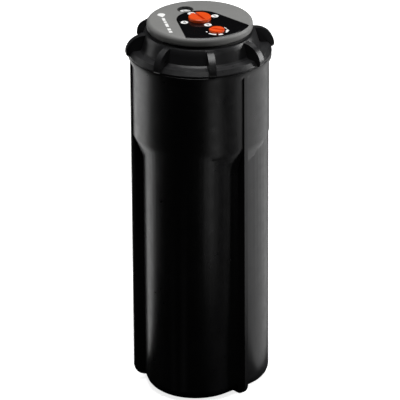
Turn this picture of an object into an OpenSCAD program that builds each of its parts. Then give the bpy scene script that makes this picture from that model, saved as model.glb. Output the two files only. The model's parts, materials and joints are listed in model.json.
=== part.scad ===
// Turbine-driven pop-up sprinkler: ribbed ground casing, sprung riser, gear-driven turret with a
// nozzle selector. Millimetres, +Z up, origin at the centre of the base.

/* [Casing] */
// Radius of the casing's upper cylinder
case_r = 42.3; // [41.8:0.1:43]
// Height of the casing up to its lip
case_h = 219.2; // [219:0.1:219.4]
// Thickness of the casing's wall
wall = 2.4; // [2:0.1:2.6]
// Distance of each lobe's centre from the axis
lobe_off = 10.8; // [10:0.1:11.4]
// Height at which the lobed lower part begins to narrow
shoulder_top = 168.5; // [165:0.5:172]
// Height at which the narrowing ends on the flats
shoulder_end = 152.3; // [150:0.5:154]
// Radius of the rounding round the base
base_round = 7.5; // [5:0.5:8]
// Radius of the outer edge of each fin
fin_r = 43.2; // [42.9:0.1:43.6]
// Thickness of each fin
fin_t = 2.6; // [2:0.1:4]
// Minor radius of the 3/4 inch female inlet thread
inlet_r = 12.06; // [12:0.01:12.2]

/* [Screw cap] */
// Number of grip lugs
lugs = 8; // [6:1:10]
// Width of each grip lug
lug_w = 4.2; // [3:0.1:6]
// Radius of the lugs' tips
lug_r = 45.9; // [45.6:0.1:46.6]
// Radius of the cap's flange
flange_r = 43.9; // [43.5:0.1:44]

/* [Riser] */
// Outer radius of the riser tube
riser_r = 27; // [26.8:0.1:27.2]
// Inner radius of the riser tube
riser_in = 24.8; // [24.6:0.1:25]
// Turns of the retract spring
spring_turns = 11; // [8:1:13]

/* [Head] */
// Radius of the grey lid
lid_r = 32.4; // [32:0.1:33]
// Thickness of the lid
lid_t = 5.4; // [5:0.1:5.6]
// Direction of the jet, in degrees from +X
head_angle = -71.6; // [-180:0.1:180]
// Radius of the large selector knob
knob_r = 6.9; // [6.5:0.1:7.4]
// Height of the knob above the lid
knob_h = 2.2; // [1.8:0.1:3]
// Radius of the small range dial
dial_r = 4.7; // [4:0.1:5]

/* [Gear train] */
// Module of the reduction gears
gear_m = 0.5; // [0.48:0.01:0.5]
// Teeth on each pinion
pinion_t = 10; // [10:1:10]
// Teeth on each wheel
wheel_t = 32; // [32:1:32]

/* [Hidden] */
$fn = 96;
EPS = 0.01;

// casing
lobe_r = case_r - lobe_off - 0.2;
floor_t = 3.4;
boss_r = 17;
boss_h = 20;
lip_r = 43.8;
LOBE_STEPS = 20;

// screw cap
cap_z = 219.6;
collar_foot_r = 36.4;
collar_foot_z = 224.2;
collar_top_r = 34;
collar_top_z = 233.2;
skirt_z = 200;
skirt_r = 39.3;
cap_bore = 27.6;
seal_seat_r = 31.6;
seal_seat_z = 228.6;
spring_top_z = 226;
cap_skirt_z = 212;

// riser
stroke = 100;
riser_z0 = 28;
riser_z1 = 186;
guide_z0 = 30;
guide_t = 6;
guide_gap = 0.5;
spring_r = 31.2;
wire_r = 1.1;
spring_z0 = guide_z0 + guide_t + wire_r + 0.05;
spring_z1 = spring_top_z - 1.6 - wire_r - 0.05;

// head
lid_z = 240;
lid_under = lid_z - lid_t;
turret_z0 = 186.4;
turret_z1 = lid_under - 0.2;
drum_r = 13;
drum_z0 = 191;
drum_z1 = 222;
port_z = 205;
port_tilt = 20;
passage_r = 4.4;
dial_off = 21.6;
sector_off = 18.4;
sector_r = 3.9;
sleeve_r = 4.97;
lid_edge = 2.4;
panel_t = 0.5;
panel_back_r = 14.2;
panel_rim_r = 31.4;
panel_splay = 16.9;
stem_r = 10;

// gear train: centre axis C and side axis S
gear_z = 134;
gear_pitch_z = 4;
centre_dist = gear_m * (pinion_t + wheel_t) / 2;
wheel_h = 2.4;
case_out_r = 21;
case_in_r = 19.8;
axle_r = 1.2;
gear_case_z0 = 130;
gear_case_z1 = 160;
cover_z1 = 164;

// sector adjustment
sector_m = 0.8;
sector_pinion_t = 8;
sector_ring_t = 54;

// turbine and stator
turbine_z = 114;
stator_z = 97;

// ---------------------------------------------------------------- shared shapes

function arc_points(cx, cy, r, a0, a1, n) =
    [for (i = [0:n]) let (a = a0 + (a1 - a0) * i / n) [cx + r * cos(a), cy + r * sin(a)]];

module tube(r_out, r_in, z0, z1) {
    translate([0, 0, z0]) difference() {
        cylinder(r = r_out, h = z1 - z0);
        translate([0, 0, -1]) cylinder(r = r_in, h = z1 - z0 + 2);
    }
}

module rod(r, z0, z1) {
    translate([0, 0, z0]) cylinder(r = r, h = z1 - z0);
}

module o_ring(r_mid, r_wire, z) {
    rotate_extrude() translate([r_mid, z]) circle(r = r_wire, $fn = 24);
}

module head_frame() {
    rotate([0, 0, head_angle]) children();
}

// Round wire along a helix, with closed flat turns at both ends.
module coil(r, wire, z0, z1, turns, closed = 1.2, sides = 6, steps = 16) {
    total = turns + 2 * closed;
    n = round(total * steps);
    pitch_lo = 2.1 * wire;
    rise = z1 - z0 - 2 * closed * pitch_lo;
    rings = [for (i = [0:n])
        let (
            t = i * total / n,
            a = 360 * t,
            z = z0 + pitch_lo * (min(t, closed) + max(t - turns - closed, 0))
                + rise * max(0, min(1, (t - closed) / turns))
        )
        for (s = [0:sides - 1])
            let (q = r + wire * cos(360 * s / sides))
            [q * cos(a), q * sin(a), z + wire * sin(360 * s / sides)]];
    walls = [for (i = [0:n - 1]) for (s = [0:sides - 1])
        let (a = i * sides + s, b = i * sides + (s + 1) % sides)
        [a, a + sides, b + sides, b]];
    ends = [[for (s = [0:sides - 1]) s], [for (s = [sides - 1:-1:0]) n * sides + s]];
    polyhedron(points = rings, faces = concat(walls, ends));
}

// ---------------------------------------------------------------- gear outlines

function inv_angle(r, base) = r <= base ? 0 : (sqrt(r * r / (base * base) - 1) * 180 / PI
    - acos(base / r));

// Outline of an involute gear with a tooth at angle 0, thinned by slack for running backlash.
function gear_points(m, teeth, slack, add = 0.85, ded = 1.15) =
    let (
        rp = m * teeth / 2,
        base = rp * cos(20),
        tip = rp + add * m,
        root = rp - ded * m,
        half = 90 / teeth - slack / rp * 180 / PI / 2 + inv_angle(rp, base),
        radii = [for (k = [0:2]) max(root, base) + (tip - max(root, base)) * k / 2]
    )
    [for (i = [0:teeth - 1])
        let (c = 360 * i / teeth)
        for (p = concat(
            [[root, -half]],
            [for (r = radii) [r, -half + inv_angle(r, base)]],
            [for (k = [2:-1:0]) [radii[k], half - inv_angle(radii[k], base)]],
            [[root, half]]))
            [p[0] * cos(c + p[1]), p[0] * sin(c + p[1])]];

module gear(m, teeth, h, phase = 0, slack = 0.12) {
    rotate([0, 0, phase]) linear_extrude(height = h) polygon(gear_points(m, teeth, slack));
}

// ---------------------------------------------------------------- casing

// Outline point i of the rounded triangle: lobe radius r, LOBE_STEPS facets round each lobe.
function lobe_point(i, r) =
    let (
        lobe = floor(i / (LOBE_STEPS + 1)),
        a = 120 * lobe - 60 + 120 * (i % (LOBE_STEPS + 1)) / LOBE_STEPS
    )
    [lobe_off * cos(120 * lobe) + r * cos(a), lobe_off * sin(120 * lobe) + r * sin(a)];

// Rounded-triangle solid: three lobes joined by flats, with a rounded foot, inset from the outside.
module lobed_solid(inset, z0, z1, round, foot_steps = 6) {
    r = lobe_r - inset;
    n = 3 * (LOBE_STEPS + 1);
    levels = concat(
        [for (k = [0:foot_steps]) let (a = 90 * k / foot_steps)
            [r - round + round * sin(a), z0 + round - round * cos(a)]],
        [[r, z1]]);
    points = [for (l = levels) for (i = [0:n - 1]) concat(lobe_point(i, l[0]), [l[1]])];
    walls = [for (k = [0:len(levels) - 2]) for (i = [0:n - 1])
        let (j = (i + 1) % n) [k * n + i, (k + 1) * n + i, (k + 1) * n + j, k * n + j]];
    top = (len(levels) - 1) * n;
    polyhedron(points = points, faces = concat(walls,
        [[for (i = [0:n - 1]) i]], [[for (i = [n - 1:-1:0]) top + i]]));
}

module casing_top(inset) {
    cone_lo = lobe_r + lobe_off / 2 - 0.3;
    rotate_extrude() polygon([
        [0, shoulder_end], [cone_lo - inset, shoulder_end],
        [case_r - inset, shoulder_top], [case_r - inset, case_h + 2 * inset],
        [0, case_h + 2 * inset]]);
}

module lip() {
    rotate_extrude() polygon([
        [case_r - wall + EPS, 213], [case_r - 0.05, 213.6], [lip_r, 217],
        [lip_r, case_h - 0.5], [lip_r - 0.5, case_h], [case_r - wall + EPS, case_h]]);
}

module fin(foot) {
    corner = base_round;
    rotate([90, 0, 0]) linear_extrude(height = fin_t, center = true) polygon(concat(
        [[30, foot]],
        arc_points(fin_r - corner, foot + corner, corner, -90, 0, 8),
        [[fin_r, 216], [30, 216]]));
}

module base_pockets() {
    pocket_r = 30;
    difference() {
        tube(pocket_r, boss_r + 2.4, -1, 1.6);
        for (k = [0:5]) rotate([0, 0, 60 * k + 30]) translate([0, -1.2, -2]) cube([40, 2.4, 5]);
    }
}

// Rib from the inlet boss outwards; the six carry the riser's foot when it is down.
module seat_rib() {
    rotate([90, 0, 0]) linear_extrude(height = 2.4, center = true)
        polygon([[boss_r - 1, floor_t - 0.8], [28, floor_t - 0.8], [28, riser_z0 - 0.05],
            [25, riser_z0 - 0.05], [boss_r - 1, boss_h - 1]]);
}

module housing() {
    color("#17181a") difference() {
        union() {
            difference() {
                union() {
                    lobed_solid(0, 0, shoulder_top - 0.5, base_round);
                    casing_top(0);
                    for (k = [0:2]) rotate([0, 0, 120 * k + 60]) fin(k == 2 ? 0.2 : 3.3);
                }
                lobed_solid(wall, floor_t, shoulder_top - 0.5, base_round - wall);
                casing_top(wall);
            }
            lip();
            rod(boss_r, floor_t - 1, boss_h);
            for (k = [0:5]) rotate([0, 0, 60 * k]) seat_rib();
        }
        translate([0, 0, -1]) cylinder(r = inlet_r, h = boss_h + 2);
        base_pockets();
    }
}

// ---------------------------------------------------------------- screw cap

module lug() {
    tip_r = 1.9;
    foot_z = cap_z + 0.1;
    rise = collar_top_z - 0.5 - (foot_z + tip_r);
    reach = 12;
    profile = concat(
        [[33, collar_top_z - 0.5]],
        [for (a = [90:-9:0]) [lug_r - reach + reach * cos(a), foot_z + tip_r + rise * sin(a)]],
        arc_points(lug_r - tip_r, foot_z + tip_r, tip_r, -15, -75, 4),
        [[lug_r - tip_r - 0.6, foot_z], [33, foot_z]]);
    rotate([90, 0, 0]) linear_extrude(height = lug_w, center = true) polygon(profile);
}

module screw_cap() {
    bevel_r = 41.8;
    color("#1b1c1e") difference() {
        union() {
            rotate_extrude() polygon([
                [0, skirt_z], [skirt_r, skirt_z], [skirt_r, cap_z], [flange_r, cap_z],
                [flange_r, cap_z + 0.7], [bevel_r, 222.8], [collar_foot_r + 1, 223.2],
                [collar_foot_r, collar_foot_z], [collar_top_r, collar_top_z - 0.8],
                [collar_top_r - 0.7, collar_top_z], [0, collar_top_z]]);
            for (k = [0:lugs - 1]) rotate([0, 0, 360 / lugs * k]) lug();
            for (z = [202:3.2:212]) rotate_extrude() polygon([
                [skirt_r - 0.4, z - 0.8], [skirt_r + 0.35, z], [skirt_r - 0.4, z + 0.8]]);
        }
        rotate_extrude() polygon([
            [0, skirt_z - 1], [skirt_r - 2.4, skirt_z - 1], [skirt_r - 2.4, 215], [33.4, 218.5],
            [33.4, spring_top_z], [29.3, spring_top_z], [29.3, cap_skirt_z], [cap_bore, cap_skirt_z],
            [cap_bore, seal_seat_z], [seal_seat_r, seal_seat_z],
            [seal_seat_r, collar_top_z + 1], [0, collar_top_z + 1]]);
    }
}

module cap_gasket() {
    color("#0c0c0d") tube(case_r - wall - 0.1, skirt_r + 0.02, 216.4, cap_z - 0.02);
}

module wiper_seal() {
    color("#0b0b0c") rotate_extrude() polygon([
        [riser_r + 0.9, seal_seat_z], [seal_seat_r, seal_seat_z], [seal_seat_r, 233.4],
        [seal_seat_r - 0.8, 234.1], [riser_r + 1.6, 234.1], [riser_r + 0.35, 233.6],
        [riser_r + 0.35, 233.1], [riser_r + 1.8, 232.2], [riser_r + 1.8, 230.4],
        [riser_r + 0.35, 229.6], [riser_r + 0.35, 229.2]]);
}

module spring_washer() {
    color("#d8d8d4") tube(33.1, 29.6, spring_top_z - 1.6, spring_top_z);
}

module retract_spring() {
    color("silver") coil(spring_r, wire_r, spring_z0, spring_z1, spring_turns);
}

// ---------------------------------------------------------------- riser

module riser_tube() {
    color("#202124") difference() {
        union() {
            tube(riser_r, riser_in, riser_z0, riser_z1);
            tube(riser_in + 0.5, riser_in - 1.6, 173, 175.8);
            tube(riser_in + 0.5, riser_in - 1.4, stator_z - 3, stator_z);
        }
        for (k = [0:2]) rotate([0, 0, 120 * k + 15]) translate([20, -2, riser_z0 - 1]) cube([10, 4, 4]);
    }
}

module guide_ring() {
    color("#26282b") difference() {
        union() {
            lobed_solid(wall + guide_gap, guide_z0, guide_z0 + 2.4, 0.6, 2);
            rod(33.2, guide_z0 + 1, guide_z0 + guide_t);
        }
        translate([0, 0, guide_z0 - 1]) cylinder(r = riser_r + 0.03, h = guide_t + 2);
        for (k = [0:11]) rotate([0, 0, 30 * k + 15]) translate([30.2, 0, guide_z0 - 1])
            cylinder(r = 1.2, h = 2, $fn = 24);
    }
}

// Sleeve that meets the cap's inner skirt when the riser is fully up.
module stop_sleeve() {
    color("#101011") difference() {
        tube(29.2, riser_r, guide_z0 + guide_t, cap_skirt_z - stroke - 0.05);
        for (z = [48:14:92]) for (k = [0:3]) rotate([0, 0, 90 * k + (z % 4 ? 45 : 0)])
            translate([25, -3, z]) cube([6, 6, 8]);
    }
}

module filter_basket() {
    slots = 12;
    r = 21.5;
    z0 = 31;
    z1 = 74;
    color("#5b5e62") difference() {
        union() {
            tube(r, r - 1.6, z0, z1);
            rod(r, z0, z0 + 1.8);
        }
        for (k = [0:slots - 1]) rotate([0, 0, 360 / slots * k])
            for (z = [z0 + 4:7.6:z1 - 8]) translate([r - 4, -1.9, z]) cube([8, 3.8, 5.4]);
        for (k = [0:5]) rotate([0, 0, 60 * k]) translate([11, 0, z0 - 1])
            cylinder(r = 2.6, h = 4, $fn = 24);
    }
}

module filter_cap() {
    color("#3a3c40") difference() {
        rotate_extrude() polygon([
            [20, riser_z0 + 0.2], [riser_in - 0.1, riser_z0 + 0.2], [riser_in - 0.1, 31],
            [23, 31.6], [23, 34.4], [21.53, 34.4], [21.53, 31], [20, 31]]);
        for (k = [0:2]) rotate([0, 0, 120 * k + 45]) translate([17, -2.5, riser_z0 - 1])
            cube([5, 5, 2.4]);
    }
}

// ---------------------------------------------------------------- turbine and stator

module stator_plate() {
    ports = 8;
    color("#c9cbc6") {
        difference() {
            rod(riser_in - 0.1, stator_z, stator_z + 3);
            translate([0, 0, stator_z - 1]) cylinder(r = 6, h = 5);
            for (k = [0:ports - 1]) rotate([0, 0, 360 / ports * k])
                translate([14.5, 0, stator_z + 1.5]) rotate([35, 0, 0])
                    cube([5, 3, 12], center = true);
        }
        for (k = [0:2]) rotate([0, 0, 120 * k + 22.5]) translate([8.6, -1, stator_z + 2.9])
            cube([1.6, 2, 9.1]);
        tube(10.2, 8, stator_z + 11, stator_z + 12.6);
        difference() {
            translate([0, 0, stator_z + 11]) union() {
                for (k = [0:2]) rotate([0, 0, 120 * k + 22.5]) translate([2, -0.9, 0])
                    cube([6.6, 1.8, 1.6]);
                cylinder(r = 3, h = 1.6);
            }
            translate([0, 0, stator_z + 10]) cylinder(r = 1.7, h = 4, $fn = 32);
        }
    }
}

module bypass_valve() {
    color("#e8e6df") {
        rod(7.6, stator_z + 3.05, stator_z + 4.6);
        rod(1.5, stator_z + 4.5, stator_z + 13.2);
        difference() {
            rod(5.7, stator_z - 2.4, stator_z + 3.1);
            for (k = [0:3]) rotate([0, 0, 90 * k]) translate([1.2, 1.2, stator_z - 3])
                cube([6, 6, 6]);
        }
    }
}

module bypass_spring() {
    color("silver") coil(3.4, 0.3, stator_z + 4.95, stator_z + 10.65, 4, closed = 1, steps = 12);
}

module turbine_rotor() {
    blades = 14;
    h = 8;
    color("#f1efe8") difference() {
        union() {
            rod(5, turbine_z, turbine_z + h + 1.5);
            rod(10, turbine_z + 2.4, turbine_z + 4.4);
            tube(19, 17.8, turbine_z + 0.6, turbine_z + h - 0.6);
            for (k = [0:blades - 1]) rotate([0, 0, 360 / blades * k])
                translate([9, 0, turbine_z + h / 2]) rotate([-38, 0, 0])
                    translate([0, -0.6, -3.6]) cube([9.2, 1.2, 7.2]);
        }
        translate([0, 0, turbine_z - 1]) cylinder(r = axle_r, h = h + 4, $fn = 48);
    }
}

module turbine_shaft() {
    color("#c7ccd1") rod(axle_r, turbine_z - 0.8, gear_z + 23.4);
}

module turbine_pinion() {
    color("#d9b45a") difference() {
        translate([0, 0, gear_z - 0.5]) gear(gear_m, pinion_t, 4.7);
        translate([0, 0, gear_z - 2]) cylinder(r = axle_r, h = 8, $fn = 48);
    }
}

module shaft_seal() {
    color("#141414") tube(4.38, axle_r + 0.06, gear_case_z0 - 1.6, gear_case_z0 + 1.15);
}

// ---------------------------------------------------------------- gearbox

module gear_case() {
    color("#2c3e55") difference() {
        union() {
            rod(case_out_r, gear_case_z0, gear_case_z0 + 2);
            rod(6, gear_case_z0 - 1.6, gear_case_z0 + 1);
            tube(case_out_r, case_in_r, gear_case_z0 + 1, gear_case_z1);
            for (k = [0:3]) rotate([0, 0, 90 * k + 20]) translate([case_out_r - 0.4, -1, 136])
                cube([riser_in - case_out_r + 0.35, 2, 18]);
        }
        translate([0, 0, gear_case_z0 - 3]) cylinder(r = 4.4, h = 4.2, $fn = 48);
        translate([0, 0, gear_case_z0 - 3]) cylinder(r = axle_r + 0.06, h = 8, $fn = 48);
        translate([centre_dist, 0, gear_case_z0 + 1]) cylinder(r = axle_r, h = 2, $fn = 48);
    }
}

module gear_case_cover() {
    color("#35496a") difference() {
        union() {
            rod(case_out_r, gear_case_z1, cover_z1);
            tube(case_in_r - 0.1, case_in_r - 1.6, gear_case_z1 - 3, gear_case_z1 + 0.5);
            rod(5, gear_case_z1 - 2, gear_case_z1 + 1);
        }
        translate([0, 0, gear_case_z1 - 4]) cylinder(r = 3.05, h = 12, $fn = 48);
        translate([centre_dist, 0, gear_case_z1 - 1]) cylinder(r = axle_r, h = 3.2, $fn = 48);
        for (k = [0:2]) rotate([0, 0, 120 * k + 80]) translate([16, 0, gear_case_z1 - 4]) {
            cylinder(r = 1.25, h = 12, $fn = 32);
            translate([0, 0, 6.2]) cylinder(r = 2.5, h = 4, $fn = 32);
        }
    }
}

module case_screws() {
    color("#b9bec4") for (k = [0:2]) rotate([0, 0, 120 * k + 80]) translate([16, 0, 0]) difference() {
        union() {
            rod(1.25, gear_case_z1 - 3, gear_case_z1 + 3);
            rod(2.3, gear_case_z1 + 2.2, gear_case_z1 + 3.8);
        }
        for (a = [0, 90]) rotate([0, 0, a]) translate([-1.5, -0.3, gear_case_z1 + 3]) cube([3, 0.6, 2]);
    }
}

module side_axle() {
    color("#c7ccd1") translate([centre_dist, 0, 0]) rod(axle_r, gear_case_z0 + 1, gear_case_z1 + 2.2);
}

// Wheel with a pinion above it, free on its axle.
module idler(index) {
    side = index % 2 == 1;
    z = gear_z + gear_pitch_z * (index - 1) + 1;
    translate([side ? centre_dist : 0, 0, z]) difference() {
        union() {
            gear(gear_m, wheel_t, wheel_h, 180 / wheel_t);
            translate([0, 0, wheel_h - EPS]) gear(gear_m, pinion_t, 4.2 + EPS);
        }
        translate([0, 0, -1]) cylinder(r = axle_r + 0.06, h = 12, $fn = 48);
    }
}

module output_gear() {
    z = gear_z + gear_pitch_z * 5 + 1;
    color("#e9e4d4") difference() {
        union() {
            translate([0, 0, z]) gear(gear_m, wheel_t, wheel_h, 180 / wheel_t);
            rod(5.6, z + wheel_h - EPS, gear_case_z1 - 2.2);
            rod(3, gear_case_z1 - 2.3, 174);
        }
        translate([0, 0, z - 1]) cylinder(r = axle_r + 0.06, h = 4, $fn = 48);
    }
}

module clutch_hub() {
    arms = 4;
    color("#d0783a") difference() {
        union() {
            rod(4.4, 168, 176);
            for (k = [0:arms - 1]) rotate([0, 0, 360 / arms * k]) translate([0, -1, 168.6])
                cube([stem_r - 2.08, 2, 5]);
        }
        translate([0, 0, 167]) cylinder(r = 3, h = 7, $fn = 48);
    }
}

// ---------------------------------------------------------------- turret bearing and sector trip

module bearing_plate() {
    color("#dcdcd6") difference() {
        union() {
            tube(riser_in - 0.1, stem_r + 0.1, 175.8, 179.4);
            tube(14.2, 12.1, 179.2, 185.25);
            translate([18, 0, 179.2]) cylinder(r = 1.2, h = 2.1, $fn = 32);
            rotate([0, 0, 88.5]) translate([19.5, 0, 179.2]) cylinder(r = 0.8, h = 1.8, $fn = 24);
        }
        for (k = [0:5]) rotate([0, 0, 60 * k + 30]) translate([18.5, 0, 175])
            cylinder(r = 3, h = 3, $fn = 48);
    }
}

module trip_lever() {
    color("#c0392b") translate([18, 0, 179.6]) difference() {
        union() {
            cylinder(r = 2.3, h = 1.4, $fn = 32);
            translate([0, -0.8, 0]) cube([4.8, 1.6, 1.2]);
            translate([-3.2, -0.6, 0]) cube([3, 1.2, 1.2]);
        }
        translate([0, 0, -1]) cylinder(r = 1.26, h = 4, $fn = 32);
    }
}

module trip_spring() {
    color("silver") translate([0, 0, 179.85]) rotate_extrude(angle = 76, start = 10)
        translate([19.5, 0]) circle(r = 0.35, $fn = 48);
}

module stem_seal() {
    color("#101011") o_ring(stem_r + 1.05, 0.9, 180.45);
}

module thrust_washer() {
    color("#b8874a") tube(14.4, stem_r + 0.1, 185.3, 186.35);
}

module retainer_clip() {
    color("#c7ccd1") difference() {
        tube(12.2, stem_r - 0.6, 174.3, 175.7);
        translate([0, -3, 173]) cube([14, 6, 3]);
    }
}

// ---------------------------------------------------------------- turret

// The tilted jet passage, pointing along +X of the head.
module passage(r, from, to) {
    translate([0, 0, port_z]) rotate([0, 90 - port_tilt, 0])
        translate([0, 0, from]) cylinder(r = r, h = to - from, $fn = 64);
}

module turret() {
    color("#1c1d20") head_frame() difference() {
        union() {
            tube(riser_r, riser_in, turret_z0, turret_z1);
            rod(riser_r - 0.2, turret_z0, turret_z0 + 2.6);
            tube(drum_r + 2.2, drum_r + 0.15, turret_z0 + 2, 226);
            difference() {
                passage(passage_r + 2, 10, 32);
                tube(60, riser_r - 0.5, 170, 240);
            }
            translate([dial_off, 0, 0]) rod(3.6, port_z + 8, 226);
            translate([-sector_off, 0, 0]) rod(3.4, turret_z0 + 1, 226);
            tube(stem_r, stem_r - 2, 170, turret_z0 + 1);
            rotate([0, 0, 130]) translate([16, -1.2, 181.8]) cube([2, 2.4, 5]);
        }
        translate([0, 0, 169]) cylinder(r = stem_r - 2, h = 30);
        translate([0, 0, turret_z0 + 2.6]) cylinder(r = drum_r + 0.15, h = 60);
        passage(passage_r, 10, 40);
        translate([dial_off, 0, port_z + 4]) cylinder(r = 1.85, h = 40, $fn = 48);
        translate([-sector_off, 0, 180]) cylinder(r = 1.95, h = 60, $fn = 48);
        tube(stem_r + 1, stem_r - 0.6, 174.25, 175.75);
        tube(24.4, 22.9, turret_z0 - 1, turret_z0 + 1.7);
        difference() {
            passage(passage_r + 1.52, 20, 40);
            rod(riser_r - 0.9, 180, 240);
        }
    }
}

module turret_collar() {
    color("#8d8f91") head_frame() difference() {
        passage(passage_r + 1.5, 20, 34);
        passage(passage_r - 0.6, 18, 40);
        rod(riser_r - 0.9, 180, 240);
        tube(60, riser_r + 0.1, 180, 240);
    }
}

module panel_outline(r_back, r_rim) {
    half = 90 + panel_splay;
    rim_a = panel_splay + asin(r_back / r_rim);
    polygon(concat(
        [for (a = [-rim_a:rim_a / 12:rim_a + EPS]) [r_rim * cos(a), r_rim * sin(a)]],
        [for (a = [half:7:360 - half + EPS]) [r_back * cos(a), r_back * sin(a)]]));
}

// Everything below the lid's top surface, lowered by drop.
module below_lid_top(drop) {
    translate([0, 0, -drop]) rotate_extrude() polygon(concat(
        [[0, lid_z - 4], [lid_r, lid_z - 4]],
        arc_points(lid_r - lid_edge, lid_z - lid_edge, lid_edge, 0, 90, 8),
        [[0, lid_z]]));
}

module lid() {
    low = 1.2;
    color("#85878a") head_frame() difference() {
        rotate_extrude() polygon(concat(
            [[0, lid_under - 6], [riser_in - 0.15, lid_under - 6], [riser_in - 0.15, lid_under],
             [lid_r - low, lid_under]],
            arc_points(lid_r - low, lid_under + low, low, -70, 0, 4),
            arc_points(lid_r - lid_edge, lid_z - lid_edge, lid_edge, 0, 90, 8),
            [[0, lid_z]]));
        translate([0, 0, lid_under - 7]) cylinder(r = 22.6, h = 7.8);
        tube(31, 27.4, lid_under - 1, lid_under + 2.6);
        difference() {
            translate([0, 0, lid_z - 3]) linear_extrude(height = 4)
                panel_outline(panel_back_r, panel_rim_r);
            below_lid_top(panel_t);
        }
        translate([0, 0, 230]) cylinder(r = 5.2, h = 12);
        translate([dial_off, 0, 226]) cylinder(r = 2.1, h = 16, $fn = 48);
        translate([-sector_off, 0, lid_z - 3.7]) cylinder(r = 5, h = 5, $fn = 64);
        translate([-sector_off, 0, 230]) cylinder(r = 2.1, h = 12, $fn = 48);
    }
}

module lid_panel() {
    color("#0d0e0f") head_frame() difference() {
        intersection() {
            translate([0, 0, lid_z - 3]) linear_extrude(height = 4)
                panel_outline(panel_back_r - 0.06, panel_rim_r - 0.06);
            difference() {
                below_lid_top(0);
                below_lid_top(panel_t);
            }
        }
        translate([0, 0, 238]) cylinder(r = 5.2, h = 4);
        translate([dial_off, 0, 238]) cylinder(r = 2.1, h = 4, $fn = 48);
        translate([-sector_off, 0, 236]) cylinder(r = 5.02, h = 6, $fn = 64);
    }
}

// ---------------------------------------------------------------- nozzle selector

module selector_knob() {
    slot_w = 1.5;
    color("#f04a0a") head_frame() difference() {
        union() {
            rotate_extrude() polygon([
                [0, lid_z + 0.1], [knob_r, lid_z + 0.1], [knob_r, lid_z + knob_h - 0.5],
                [knob_r - 0.5, lid_z + knob_h], [0, lid_z + knob_h]]);
            rod(4.9, drum_z1, lid_z + 0.2);
        }
        translate([-knob_r - 1, -slot_w / 2, lid_z + knob_h - 1.2]) cube([2 * knob_r, slot_w, 3]);
        translate([-knob_r - 1, -slot_w / 2, lid_z]) cube([2, slot_w, 6]);
    }
}

module nozzle_drum() {
    color("#e3e1da") head_frame() difference() {
        union() {
            rod(drum_r, drum_z0, drum_z1 - 2);
            rod(drum_r - 1.6, drum_z1 - 2.1, drum_z1);
        }
        translate([0, 0, drum_z0 - 1]) cylinder(r = drum_r - 4, h = drum_z1 - drum_z0 - 1.5);
        for (k = [0:3]) rotate([0, 0, 90 * k]) passage(3, 6, 16);
        for (z = [drum_z0 + 1.6, drum_z1 - 5]) tube(drum_r + 1, drum_r - 1.4, z, z + 2.4);
    }
}

module drum_seals() {
    color("#101011") for (z = [drum_z0 + 2.8, drum_z1 - 3.8]) o_ring(drum_r - 0.72, 0.66, z);
}

// One nozzle pressed into the drum; its bore sets the flow.
module nozzle(index) {
    bore = [2.3, 1.9, 1.5, 1.1][index];
    head_frame() rotate([0, 0, 90 * index]) difference() {
        passage(3, 8, 15);
        passage(bore, 5, 18);
        rod(drum_r - 4, 190, 222);
        tube(40, drum_r - 0.05, 190, 222);
    }
}

module range_dial() {
    color("#f04a0a") head_frame() translate([dial_off, 0, 0]) difference() {
        union() {
            rod(dial_r, lid_z + 0.1, lid_z + 1.1);
            rod(dial_r - 0.3, lid_z + 1, lid_z + 1.4);
            rod(2.04, lid_z - 7, lid_z + 0.2);
        }
        rotate([0, 0, 38]) translate([-dial_r - 1, -0.55, lid_z + 0.8]) cube([2 * dial_r + 2, 1.1, 2]);
        translate([0, 0, lid_z - 8]) cylinder(r = 1.65, h = 8.2, $fn = 48);
    }
}

module range_screw() {
    color("#b9bec4") head_frame() translate([dial_off, 0, 0]) {
        rod(1.6, port_z + 14, lid_z - 0.2);
        translate([0, 0, port_z + 12]) cylinder(r1 = 0.4, r2 = 1.6, h = 2, $fn = 48);
    }
}

module range_seal() {
    color("#101011") head_frame() translate([dial_off, 0, 226]) difference() {
        cylinder(r = 3, h = 1.4, $fn = 48);
        translate([0, 0, -1]) cylinder(r = 1.7, h = 4, $fn = 48);
    }
}

// ---------------------------------------------------------------- sector adjustment

module sector_dial() {
    top = lid_z - 1.7;
    color("#e9ebea") head_frame() translate([-sector_off, 0, 0]) difference() {
        rod(sector_r, top - 1.9, top);
        for (a = [0, 90]) rotate([0, 0, a]) translate([-2.6, -0.6, top - 1]) cube([5.2, 1.2, 2]);
        translate([0, 0, top - 1]) cylinder(r = 1.5, h = 3, $fn = 32);
    }
}

// Rubber sleeve that lines the dial's well.
module sector_sleeve() {
    color("#0d0d0e") head_frame() translate([-sector_off, 0, 0])
        tube(sleeve_r, sector_r + 0.25, lid_z - 3.65, lid_z - 0.05);
}

module sector_shaft() {
    color("#d9d9d3") head_frame() translate([-sector_off, 0, 0]) {
        rod(1.8, 184.5, lid_z - 3.6);
        translate([0, 0, 183]) gear(sector_m, sector_pinion_t, 2.2, 0);
    }
}

module sector_ring() {
    rim = 24.4;
    color("#3f8f6b") head_frame() {
        translate([0, 0, 183.1]) difference() {
            cylinder(r = rim, h = 2);
            translate([0, 0, -1]) linear_extrude(height = 4)
                polygon(gear_points(sector_m, sector_ring_t, -0.2, 1.1, 0.75));
        }
        tube(24.2, 23.1, 185, turret_z0 + 1.5);
        rotate([0, 0, 40]) translate([22.7, -1.2, 181.6]) cube([1.4, 2.4, 1.6]);
    }
}

// ---------------------------------------------------------------- nodes

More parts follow.
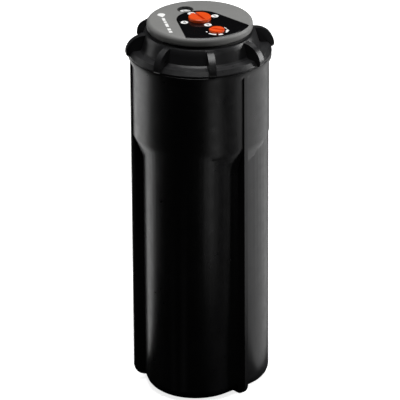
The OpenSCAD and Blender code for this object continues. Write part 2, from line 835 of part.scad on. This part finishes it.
housing();
screw_cap();
cap_gasket();
wiper_seal();
spring_washer();
retract_spring();
riser_tube();
guide_ring();
stop_sleeve();
filter_basket();
filter_cap();
stator_plate();
bypass_valve();
bypass_spring();
gear_case();
gear_case_cover();
case_screws();
side_axle();
shaft_seal();
turbine_rotor();
turbine_shaft();
turbine_pinion();
color("#f2ede0") idler(1);  // idler_gear_1
color("#e2dccb") idler(2);  // idler_gear_2
color("#f2ede0") idler(3);  // idler_gear_3
color("#e2dccb") idler(4);  // idler_gear_4
color("#f2ede0") idler(5);  // idler_gear_5
output_gear();
clutch_hub();
bearing_plate();
trip_lever();
trip_spring();
stem_seal();
thrust_washer();
retainer_clip();
turret();
turret_collar();
lid();
lid_panel();
selector_knob();
nozzle_drum();
drum_seals();
color("#2f3133") nozzle(0);  // nozzle_1
color("#2f3133") nozzle(1);  // nozzle_2
color("#2f3133") nozzle(2);  // nozzle_3
color("#2f3133") nozzle(3);  // nozzle_4
range_dial();
range_screw();
range_seal();
sector_dial();
sector_sleeve();
sector_shaft();
sector_ring();
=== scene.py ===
"""Pop-up sprinkler: materials, springs, lid print, floor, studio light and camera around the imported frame."""

import json
import math

import bpy
from mathutils import Matrix, Vector


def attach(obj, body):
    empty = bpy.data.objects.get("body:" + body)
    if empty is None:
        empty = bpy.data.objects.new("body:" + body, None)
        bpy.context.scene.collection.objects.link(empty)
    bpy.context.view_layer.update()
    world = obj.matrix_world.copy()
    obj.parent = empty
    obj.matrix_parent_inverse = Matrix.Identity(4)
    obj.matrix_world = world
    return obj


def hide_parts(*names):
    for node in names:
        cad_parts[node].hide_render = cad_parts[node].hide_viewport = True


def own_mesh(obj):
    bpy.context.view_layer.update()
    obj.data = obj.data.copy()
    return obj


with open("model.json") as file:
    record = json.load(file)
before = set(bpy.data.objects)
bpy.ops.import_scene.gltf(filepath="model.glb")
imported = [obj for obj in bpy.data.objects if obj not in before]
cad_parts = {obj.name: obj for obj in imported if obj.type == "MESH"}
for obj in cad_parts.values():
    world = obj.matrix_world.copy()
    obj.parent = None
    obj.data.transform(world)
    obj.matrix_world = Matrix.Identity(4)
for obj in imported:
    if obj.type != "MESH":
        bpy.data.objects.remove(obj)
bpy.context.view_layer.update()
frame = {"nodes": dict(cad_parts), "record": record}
SCENE = bpy.context.scene
SCENE.view_settings.view_transform = "Standard"

MM = 0.001
HEAD_ANGLE = math.radians(-71.6)
LID_Z = 0.240
PRINT_LO, PRINT_HI = LID_Z - 0.00005, LID_Z + 0.00006
NOZZLE_RING_R = 10.5 * MM
DIAL_ALONG = 21.6 * MM

# camera: azimuth, elevation and roll in degrees, distance in metres, focal length and shift in render pixels
CAM_AZ, CAM_EL, CAM_DIST, CAM_ROLL = -10.0, 24.4, 2.8, 0.36
FRAME_PX = 400.0
FOCAL_PX = 4524.0
SHIFT_PX = (0.8, 1.25)
TARGET = Vector((0.0, 0.0, 0.1185))
SENSOR_MM = 36.0

FLOOR_HALF, FLOOR_Z = 6.0, -0.0003
CARD_Z = 0.004


# ------------------------------------------------------------------ helpers

def link(obj):
    SCENE.collection.objects.link(obj)
    return obj


def mesh_object(name, verts, faces, material):
    mesh = bpy.data.meshes.new(name)
    mesh.from_pydata(verts, [], faces)
    mesh.validate()
    mesh.update()
    mesh.materials.append(material)
    return link(bpy.data.objects.new(name, mesh))


def nodes_of(mat):
    mat.use_nodes = True
    tree = mat.node_tree
    tree.nodes.clear()
    out = tree.nodes.new("ShaderNodeOutputMaterial")
    bsdf = tree.nodes.new("ShaderNodeBsdfPrincipled")
    tree.links.new(bsdf.outputs[0], out.inputs[0])
    return tree, bsdf


def object_coords(tree, scale=(1.0, 1.0, 1.0)):
    coord = tree.nodes.new("ShaderNodeTexCoord")
    mapping = tree.nodes.new("ShaderNodeMapping")
    mapping.inputs["Scale"].default_value = scale
    tree.links.new(coord.outputs["Object"], mapping.inputs["Vector"])
    return mapping.outputs["Vector"]


def noise(tree, vec, scale, detail=3.0, rough=0.55):
    n = tree.nodes.new("ShaderNodeTexNoise")
    n.inputs["Scale"].default_value = scale
    n.inputs["Detail"].default_value = detail
    n.inputs["Roughness"].default_value = rough
    tree.links.new(vec, n.inputs["Vector"])
    return n.outputs["Fac"]


def ramp(tree, fac, stops):
    r = tree.nodes.new("ShaderNodeValToRGB")
    els = r.color_ramp.elements
    while len(els) < len(stops):
        els.new(0.5)
    for e, (pos, col) in zip(els, stops):
        e.position = pos
        e.color = (*col, 1)
    tree.links.new(fac, r.inputs["Fac"])
    return r.outputs["Color"]


def map_range(tree, fac, lo, hi, from_lo=0.0, from_hi=1.0):
    m = tree.nodes.new("ShaderNodeMapRange")
    m.inputs["From Min"].default_value = from_lo
    m.inputs["From Max"].default_value = from_hi
    m.inputs["To Min"].default_value = lo
    m.inputs["To Max"].default_value = hi
    tree.links.new(fac, m.inputs["Value"])
    return m.outputs["Result"]


def bump(tree, height, strength, distance):
    b = tree.nodes.new("ShaderNodeBump")
    b.inputs["Strength"].default_value = strength
    b.inputs["Distance"].default_value = distance
    tree.links.new(height, b.inputs["Height"])
    return b.outputs["Normal"]


def plastic(name, color, rough, grain=0.12, grain_scale=1400.0, tint=0.12, rough_swing=0.06, spec=0.5):
    """Moulded plastic: fine tool grain, slow colour drift, scuffs that change the gloss."""
    mat = bpy.data.materials.new(name)
    tree, bsdf = nodes_of(mat)
    vec = object_coords(tree)
    drift = noise(tree, vec, 22.0, 2.0)
    dark = tuple(c * (1 - tint) for c in color)
    light = tuple(min(1.0, c * (1 + tint)) for c in color)
    tree.links.new(ramp(tree, drift, [(0.35, dark), (0.65, light)]), bsdf.inputs["Base Color"])
    scuff = noise(tree, vec, 160.0, 5.0, 0.6)
    tree.links.new(map_range(tree, scuff, rough - rough_swing, rough + rough_swing, 0.3, 0.7),
                   bsdf.inputs["Roughness"])
    bsdf.inputs["Specular IOR Level"].default_value = spec
    fine = noise(tree, vec, grain_scale, 2.0)
    tree.links.new(bump(tree, fine, grain, 0.00008), bsdf.inputs["Normal"])
    return mat


def metal(name, color, rough, stretch=(1.0, 1.0, 30.0)):
    """Drawn or turned metal: fine streaks along one direction."""
    mat = bpy.data.materials.new(name)
    tree, bsdf = nodes_of(mat)
    streak = noise(tree, object_coords(tree, stretch), 260.0, 3.0)
    dark = tuple(c * 0.82 for c in color)
    tree.links.new(ramp(tree, streak, [(0.3, dark), (0.7, color)]), bsdf.inputs["Base Color"])
    tree.links.new(map_range(tree, streak, rough - 0.08, rough + 0.08), bsdf.inputs["Roughness"])
    bsdf.inputs["Metallic"].default_value = 1.0
    tree.links.new(bump(tree, streak, 0.15, 0.00004), bsdf.inputs["Normal"])
    return mat


# ------------------------------------------------------------------ materials

MAT = {
    "black_plastic": plastic("black_moulded", (0.013, 0.013, 0.0138), 0.33, grain=0.2, tint=0.15),
    "charcoal_plastic": plastic("charcoal_moulded", (0.022, 0.022, 0.024), 0.45),
    "grey_plastic": plastic("mid_grey_moulded", (0.13, 0.135, 0.14), 0.45),
    "natural_plastic": plastic("natural_acetal", (0.72, 0.71, 0.66), 0.35, tint=0.04),
    "gear_plastic": plastic("gear_acetal", (0.78, 0.73, 0.60), 0.35, tint=0.05),
    "blue_plastic": plastic("blue_moulded", (0.04, 0.07, 0.13), 0.4),
    "green_plastic": plastic("green_moulded", (0.05, 0.25, 0.13), 0.4),
    "red_plastic": plastic("red_moulded", (0.5, 0.03, 0.02), 0.4),
    "orange_plastic": plastic("orange_moulded", (0.78, 0.072, 0.002), 0.34, grain=0.15, tint=0.06),
    "white_plastic": plastic("white_moulded", (0.8, 0.8, 0.79), 0.4, tint=0.03),
    "grey_lid": plastic("lid_grey_moulded", (0.20, 0.20, 0.194), 0.5,
                        grain=0.3, grain_scale=1100.0, tint=0.06),
    "panel_black": plastic("panel_print_black", (0.003, 0.003, 0.0035), 0.16,
                           grain=0.04, tint=0.1, rough_swing=0.03),
    "rubber": plastic("nitrile_rubber", (0.010, 0.010, 0.010), 0.6, grain=0.25, tint=0.2, spec=0.35),
    "steel": metal("stainless_steel", (0.60, 0.60, 0.61), 0.3),
    "spring_steel": metal("spring_wire", (0.55, 0.55, 0.57), 0.26, (30.0, 1.0, 1.0)),
    "brass": metal("turned_brass", (0.72, 0.50, 0.20), 0.3),
}
for entry in frame["record"]["subparts"]:
    node = frame["nodes"][entry["node"]]
    node.data.materials.clear()
    node.data.materials.append(MAT[entry["material_slot"]])


# ------------------------------------------------------------------ shading

def smooth_by_angle(limit):
    """Modifier nodes: join the mesh's split corners and shade its gentle edges smooth."""
    group = bpy.data.node_groups.new("smooth_by_angle", "GeometryNodeTree")
    group.interface.new_socket("Geometry", in_out="INPUT", socket_type="NodeSocketGeometry")
    group.interface.new_socket("Geometry", in_out="OUTPUT", socket_type="NodeSocketGeometry")
    new, wire = group.nodes.new, group.links.new
    start, end = new("NodeGroupInput"), new("NodeGroupOutput")
    merge = new("GeometryNodeMergeByDistance")
    merge.inputs["Distance"].default_value = 1e-6
    faces, edges = new("GeometryNodeSetShadeSmooth"), new("GeometryNodeSetShadeSmooth")
    faces.domain, edges.domain = "FACE", "EDGE"
    faces.inputs["Shade Smooth"].default_value = True
    edges.inputs["Shade Smooth"].default_value = False
    angle, sharp = new("GeometryNodeInputMeshEdgeAngle"), new("FunctionNodeCompare")
    sharp.operation = "GREATER_THAN"
    sharp.inputs[1].default_value = limit
    wire(start.outputs[0], merge.inputs["Geometry"])
    wire(merge.outputs["Geometry"], faces.inputs["Geometry"])
    wire(faces.outputs["Geometry"], edges.inputs["Geometry"])
    wire(angle.outputs["Unsigned Angle"], sharp.inputs[0])
    wire(sharp.outputs["Result"], edges.inputs["Selection"])
    wire(edges.outputs["Geometry"], end.inputs[0])
    return group


SMOOTH = smooth_by_angle(math.radians(28))
for node in frame["nodes"].values():
    node.modifiers.new("smooth", "NODES").node_group = SMOOTH


# ------------------------------------------------------------------ springs

def spring_piece(node, body):
    """The spring as a copy of its coil, attached to the given body."""
    obj = link(bpy.data.objects.new(f"{node}_coil", frame["nodes"][node].data.copy()))
    obj.modifiers.new("smooth", "NODES").node_group = SMOOTH
    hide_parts(node)
    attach(obj, body)
    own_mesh(obj)


spring_piece("retract_spring", "casing")
spring_piece("bypass_spring", "riser")


# ------------------------------------------------------------------ lid print

def head_point(along, across, z):
    """Row-frame point from the lid's own axes: along the panel's axis, across to its left."""
    c, s = math.cos(HEAD_ANGLE), math.sin(HEAD_ANGLE)
    return (along * c - across * s, along * s + across * c, z)


def printed(name, outline):
    """White print on the lid: a thin plate whose outline is in lid axes, in metres."""
    n = len(outline)
    verts = [head_point(a, b, z) for z in (PRINT_LO, PRINT_HI) for a, b in outline]
    faces = [tuple(range(n, 2 * n)), tuple(reversed(range(n)))]
    faces += [(i, (i + 1) % n, n + (i + 1) % n, n + i) for i in range(n)]
    obj = mesh_object(name, verts, faces, PRINT)
    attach(obj, "head")


def circle(cx, cy, r, n=48):
    return [(cx + r * math.cos(2 * math.pi * i / n), cy + r * math.sin(2 * math.pi * i / n)) for i in range(n)]


def band(cx, cy, r, a0, a1, w0, w1, n=24):
    """Arc band about (cx, cy), its width going from w0 to w1."""
    outer, inner = [], []
    for i in range(n + 1):
        t = i / n
        a = math.radians(a0 + (a1 - a0) * t)
        w = (w0 + (w1 - w0) * t) / 2
        outer.append((cx + (r + w) * math.cos(a), cy + (r + w) * math.sin(a)))
        inner.append((cx + (r - w) * math.cos(a), cy + (r - w) * math.sin(a)))
    return outer + inner[::-1]


PRINT = plastic("lid_print_white", (0.86, 0.86, 0.85), 0.45, grain=0.08, tint=0.03)
INK = plastic("lid_print_ink", (0.02, 0.02, 0.02), 0.5, grain=0.08, tint=0.05)

for i, a in enumerate((180, 90, 0, 270)):
    ca, sa = math.cos(math.radians(a)), math.sin(math.radians(a))
    cx, cy = NOZZLE_RING_R * ca, NOZZLE_RING_R * sa
    printed(f"nozzle_mark_{i + 1}", circle(cx, cy, 2.3 * MM))
    font = bpy.data.curves.new(f"numeral_{i + 1}", "FONT")
    font.body = str(i + 1)
    font.size = 3.4 * MM
    font.align_x, font.align_y = "CENTER", "CENTER"
    font.extrude = 0.03 * MM
    font.offset = 0.06 * MM
    text = link(bpy.data.objects.new(f"numeral_{i + 1}", font))
    text.location = head_point(cx, cy, PRINT_HI + 0.00002)
    text.rotation_euler = (0, 0, HEAD_ANGLE + math.pi / 2)
    font.materials.append(INK)
    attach(text, "head")


def view_point(u, v):
    """Lid axes, in metres, of the point u mm to the right and v mm away, as seen from azimuth CAM_AZ."""
    a = math.radians(CAM_AZ)
    x, y = u * math.cos(a) - v * math.sin(a), u * math.sin(a) + v * math.cos(a)
    c, s = math.cos(HEAD_ANGLE), math.sin(HEAD_ANGLE)
    return ((x * c + y * s) * MM, (-x * s + y * c) * MM)


DIAL_X, DIAL_Y = (c + d for c, d in zip((DIAL_ALONG, 0.0), view_point(0.0, 0.9)))
for name, r, a0, a1, w0, w1 in (
    ("range_scale_a", 6.4, -104, -92, 0.9, 0.9),
    ("range_scale_b", 6.6, -74, -31, 1.2, 1.6),
    ("range_scale_c", 6.8, -19, 4, 1.7, 1.9),
    ("range_scale_d", 6.5, 30, 59, 1.0, 1.5),
    ("range_scale_e", 6.5, 84, 108, 0.6, 0.6),
):
    printed(name, band(DIAL_X, DIAL_Y, r * MM, a0, a1, w0 * MM, w1 * MM))
arrow = []
for r, a in ((5.2, 59.5), (7.8, 59.5), (6.5, 74)):
    a = math.radians(a)
    arrow.append((DIAL_X + r * MM * math.cos(a), DIAL_Y + r * MM * math.sin(a)))
printed("range_arrow", arrow)

# generic water-drop mark with dashes, in place of the printed name
M0, M1 = view_point(-23.4, 7.5), view_point(-16.9, -23.4)
_dx, _dy = M1[0] - M0[0], M1[1] - M0[1]
_len = math.hypot(_dx, _dy)
_ux, _uy = _dx / _len, _dy / _len


def mark_point(t, s):
    """t millimetres down the mark from the drop's centre, s millimetres to its side."""
    return (M0[0] + (_ux * t - _uy * s) * MM, M0[1] + (_uy * t + _ux * s) * MM)


DROP_R, TIP_HALF, TIP_LENGTH = 2.4, 0.9, 1.9
drop = []
for i in range(40):
    a = 2 * math.pi * i / 40
    t, s = -DROP_R * math.cos(a), DROP_R * math.sin(a)
    if abs(a - math.pi) < TIP_HALF:
        k = 1 - abs(a - math.pi) / TIP_HALF
        t = t + TIP_LENGTH * k ** 1.6
        s = s * (1 - 0.35 * k)
    drop.append(mark_point(t, s))
printed("lid_drop_mark", drop)
for i, (t0, t1) in enumerate(((5.6, 9.9), (11.0, 13.5), (14.6, 19.8), (22.6, 25.8), (26.9, 29.5))):
    w = 0.9 if i < 3 else 1.0
    printed(f"lid_dash_{i + 1}", [mark_point(t, side) for t, side in ((t0, -w), (t1, -w), (t1, w), (t0, w))])


# ------------------------------------------------------------------ floor and world

def studio_floor():
    mat = bpy.data.materials.new("pale_floor")
    tree, bsdf = nodes_of(mat)
    shade = noise(tree, object_coords(tree), 3.0, 3.0)
    tree.links.new(ramp(tree, shade, [(0.3, (0.93, 0.93, 0.93)), (0.7, (0.95, 0.95, 0.95))]),
                   bsdf.inputs["Base Color"])
    bsdf.inputs["Roughness"].default_value = 0.9
    bsdf.inputs["Emission Color"].default_value = (1, 1, 1, 1)
    bsdf.inputs["Emission Strength"].default_value = 0.8
    corners = [(x * FLOOR_HALF, y * FLOOR_HALF, FLOOR_Z) for x, y in ((-1, -1), (1, -1), (1, 1), (-1, 1))]
    floor = mesh_object("studio_floor", corners, [(0, 1, 2, 3)], mat)
    floor.visible_glossy = floor.visible_diffuse = False


studio_floor()

world = bpy.data.worlds.new("studio_world")
SCENE.world = world
world.use_nodes = True
world.node_tree.nodes["Background"].inputs["Color"].default_value = (1, 1, 1, 1)
world.node_tree.nodes["Background"].inputs["Strength"].default_value = 1.0
world.cycles_visibility.diffuse = world.cycles_visibility.glossy = False


# ------------------------------------------------------------------ camera and lights

def toward(azimuth, elevation):
    """Unit vector from the object towards an azimuth and elevation in degrees."""
    a, e = math.radians(azimuth), math.radians(elevation)
    return Vector((math.sin(a) * math.cos(e), -math.cos(a) * math.cos(e), math.sin(e)))


cam_data = bpy.data.cameras.new("camera")
cam_data.sensor_width = SENSOR_MM
cam_data.lens = FOCAL_PX * SENSOR_MM / FRAME_PX
cam_data.clip_end = 50.0
camera = link(bpy.data.objects.new("camera", cam_data))
camera.location = TARGET + toward(CAM_AZ, CAM_EL) * CAM_DIST
camera.rotation_euler = ((TARGET - camera.location).to_track_quat("-Z", "Y").to_matrix()
                         @ Matrix.Rotation(math.radians(-CAM_ROLL), 3, "Z")).to_euler()
cam_data.shift_x, cam_data.shift_y = -SHIFT_PX[0] / FRAME_PX, SHIFT_PX[1] / FRAME_PX
SCENE.camera = camera


def area_light(name, size, power):
    data = bpy.data.lights.new(name, "AREA")
    data.shape = "RECTANGLE"
    data.size, data.size_y = size
    data.energy = power
    return link(bpy.data.objects.new(name, data))


def softbox(name, phi, elev, dist, size, power):
    """Softbox at azimuth phi from the camera's direction, positive to image right, facing the object."""
    obj = area_light(name, size, power)
    target = Vector((0, 0, 0.13))
    obj.location = target + toward(CAM_AZ + phi, elev) * dist
    obj.rotation_euler = (target - obj.location).to_track_quat("-Z", "Y").to_euler()


def floor_card(name, right, away, turn, size, power):
    """Bright card lying by the object and facing up, for the reflections low on its glossy sides.

    right and away are its centre as the camera sees it, in metres; turn is in degrees.
    """
    obj = area_light(name, size, power)
    a = math.radians(CAM_AZ)
    obj.location = (right * math.cos(a) - away * math.sin(a), right * math.sin(a) + away * math.cos(a), CARD_Z)
    obj.rotation_euler = (math.pi, 0, a + math.radians(turn))
    obj.visible_camera = False


softbox("top_soft", -20, 84, 1.5, (0.9, 0.9), 15)
softbox("back_soft", 160, 66, 1.5, (0.9, 0.9), 9)
softbox("left_strip", -112, 12, 1.2, (0.5, 0.9), 1.5)
softbox("right_strip", 100, 14, 1.2, (0.5, 0.9), 11)
softbox("front_weak", 30, 22, 2.4, (0.12, 0.9), 1.2)
floor_card("left_card", -0.222, 0.272, -12, (0.46, 0.45), 0.86)
floor_card("right_card", 0.374, 0.246, -18, (0.46, 0.70), 0.84)
floor_card("front_card", 0.149, -0.306, 26, (0.07, 0.36), 0.056)
